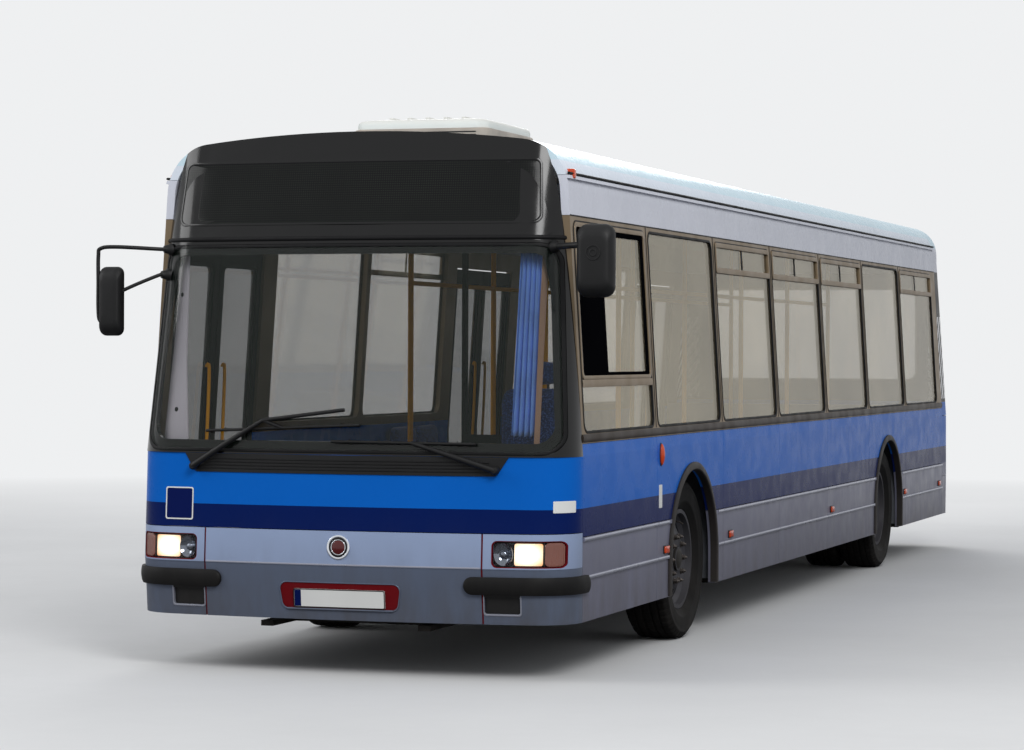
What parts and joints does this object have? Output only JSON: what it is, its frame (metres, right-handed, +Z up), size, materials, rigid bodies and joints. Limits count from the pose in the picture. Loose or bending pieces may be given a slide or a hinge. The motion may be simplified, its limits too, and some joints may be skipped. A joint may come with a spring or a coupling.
{
  "type": "airport passenger bus",
  "caption": "Low-floor airport bus with double doors that fold inwards on its right side, a steered front axle, twin rear wheels, roof hatches and a rear engine hatch.",
  "frame": {"origin": "on the ground, at mid-length and on the plane of symmetry", "axes": "the bus faces -Y, +X is its left (driver's) side, +Z is up"},
  "size_m": [2.96, 11.9898, 3.08],
  "materials": {
    "frame_paint": "satin",
    "floor_vinyl": "matt",
    "body_blue": "gloss",
    "panel_silver": "gloss",
    "cove_white": "gloss",
    "roof_pale_blue": "gloss",
    "window_frame": "gloss",
    "window_glass": "polished",
    "screen_glass": "polished",
    "black_gloss": "gloss",
    "black_plastic": "matt",
    "black_rubber": "matt",
    "lamp_clear": "polished",
    "lamp_red": "gloss",
    "lamp_amber": "gloss",
    "unit_white": "satin",
    "engine_cast": "rough",
    "axle_cast": "rough",
    "rim_grey": "satin",
    "tyre": "matt",
    "seat_cloth": "woven",
    "dash_plastic": "grained",
    "rail_yellow": "gloss",
    "door_grey": "satin"
  },
  "bodies": {
    "body": {"chassis_frame": "frame_paint", "floor": "floor_vinyl", "front_fascia": "body_blue", "bumper_centre": "panel_silver", "bumper_corners": "panel_silver", "bumper_rubbers": "black_rubber", "headlamps": "lamp_clear", "front_frame": "black_gloss", "windscreen": "screen_glass", "display_box": "black_gloss", "wipers": "black_plastic", "window_frame_left": "window_frame", "window_frame_right": "window_frame", "side_panels": "body_blue", "skirts": "panel_silver", "window_glass": "window_glass", "coves": "cove_white", "roof": "roof_pale_blue", "ac_unit": "unit_white", "rear_panel": "body_blue", "rear_bumper": "panel_silver", "rear_lamps": "lamp_red", "engine": "engine_cast", "front_axle": "axle_cast", "rear_axle": "axle_cast", "seats": "seat_cloth", "driver_seat": "seat_cloth", "dashboard": "dash_plastic", "steering_wheel": "black_plastic", "cab_partition": "frame_paint", "handrails": "rail_yellow", "mirrors": "black_plastic", "marker_lamps": "lamp_amber"},
    "knuckle_left": {"knuckle_left": "axle_cast"},
    "knuckle_right": {"knuckle_right": "axle_cast"},
    "tie_rod": {"tie_rod": "axle_cast"},
    "wheel_front_left": {"rim_front_left": "rim_grey", "tyre_front_left": "tyre"},
    "wheel_front_right": {"rim_front_right": "rim_grey", "tyre_front_right": "tyre"},
    "wheel_rear_left": {"rims_rear_left": "rim_grey", "tyres_rear_left": "tyre"},
    "wheel_rear_right": {"rims_rear_right": "rim_grey", "tyres_rear_right": "tyre"},
    "door_1_front": {"door_1_front": "door_grey"},
    "door_1_rear": {"door_1_rear": "door_grey"},
    "door_2_front": {"door_2_front": "door_grey"},
    "door_2_rear": {"door_2_rear": "door_grey"},
    "door_3_front": {"door_3_front": "door_grey"},
    "door_3_rear": {"door_3_rear": "door_grey"},
    "engine_hatch": {"engine_hatch": "body_blue"},
    "roof_hatch_front": {"roof_hatch_front": "unit_white"},
    "roof_hatch_rear": {"roof_hatch_rear": "unit_white"}
  },
  "joints": [
    {"name": "steer_left", "type": "hinge", "parent": "body", "child": "knuckle_left", "pos_m": [0.87, -3.3, 0.482], "axis": [0, 0, 1], "range_deg": [-38, 38]},
    {"name": "steer_right", "type": "hinge", "parent": "body", "child": "knuckle_right", "pos_m": [-0.87, -3.3, 0.482], "axis": [0, 0, 1], "range_deg": [-38, 38]},
    {"name": "tie_rod_swing", "type": "hinge", "parent": "knuckle_left", "child": "tie_rod", "pos_m": [0.87, -3.07, 0.202], "axis": [0, 0, 1], "range_deg": [-38, 38]},
    {"name": "roll_front_left", "type": "hinge", "parent": "knuckle_left", "child": "wheel_front_left", "pos_m": [1.06, -3.3, 0.482], "axis": [1, 0, 0], "continuous": true},
    {"name": "roll_front_right", "type": "hinge", "parent": "knuckle_right", "child": "wheel_front_right", "pos_m": [-1.06, -3.3, 0.482], "axis": [1, 0, 0], "continuous": true},
    {"name": "roll_rear_left", "type": "hinge", "parent": "body", "child": "wheel_rear_left", "pos_m": [1.06, 3, 0.482], "axis": [1, 0, 0], "continuous": true},
    {"name": "roll_rear_right", "type": "hinge", "parent": "body", "child": "wheel_rear_right", "pos_m": [-1.06, 3, 0.482], "axis": [1, 0, 0], "continuous": true},
    {"name": "door_1_front_swing", "type": "hinge", "parent": "body", "child": "door_1_front", "pos_m": [-1.162, -5.5195, 1.3], "axis": [0, 0, 1], "range_deg": [-90, 0]},
    {"name": "door_1_rear_swing", "type": "hinge", "parent": "body", "child": "door_1_rear", "pos_m": [-1.162, -4.3455, 1.3], "axis": [0, 0, 1], "range_deg": [0, 90]},
    {"name": "door_2_front_swing", "type": "hinge", "parent": "body", "child": "door_2_front", "pos_m": [-1.162, -0.7645, 1.3], "axis": [0, 0, 1], "range_deg": [-90, 0]},
    {"name": "door_2_rear_swing", "type": "hinge", "parent": "body", "child": "door_2_rear", "pos_m": [-1.162, 0.4095, 1.3], "axis": [0, 0, 1], "range_deg": [0, 90]},
    {"name": "door_3_front_swing", "type": "hinge", "parent": "body", "child": "door_3_front", "pos_m": [-1.162, 3.9905, 1.3], "axis": [0, 0, 1], "range_deg": [-90, 0]},
    {"name": "door_3_rear_swing", "type": "hinge", "parent": "body", "child": "door_3_rear", "pos_m": [-1.162, 5.1645, 1.3], "axis": [0, 0, 1], "range_deg": [0, 90]},
    {"name": "engine_hatch_lift", "type": "hinge", "parent": "body", "child": "engine_hatch", "pos_m": [0, 5.978, 1.156], "axis": [1, 0, 0], "range_deg": [0, 85]},
    {"name": "roof_hatch_front_lift", "type": "hinge", "parent": "body", "child": "roof_hatch_front", "pos_m": [0, -2.115, 2.9203], "axis": [1, 0, 0], "range_deg": [0, 25]},
    {"name": "roof_hatch_rear_lift", "type": "hinge", "parent": "body", "child": "roof_hatch_rear", "pos_m": [0, 2.335, 2.9203], "axis": [1, 0, 0], "range_deg": [0, 25]}
  ],
  "couplings": [
    {"joint": "steer_right", "follows": "steer_left", "ratio": 1},
    {"joint": "tie_rod_swing", "follows": "steer_left", "ratio": -1},
    {"joint": "door_1_rear_swing", "follows": "door_1_front_swing", "ratio": -1},
    {"joint": "door_2_rear_swing", "follows": "door_2_front_swing", "ratio": -1},
    {"joint": "door_3_rear_swing", "follows": "door_3_front_swing", "ratio": -1}
  ]
}
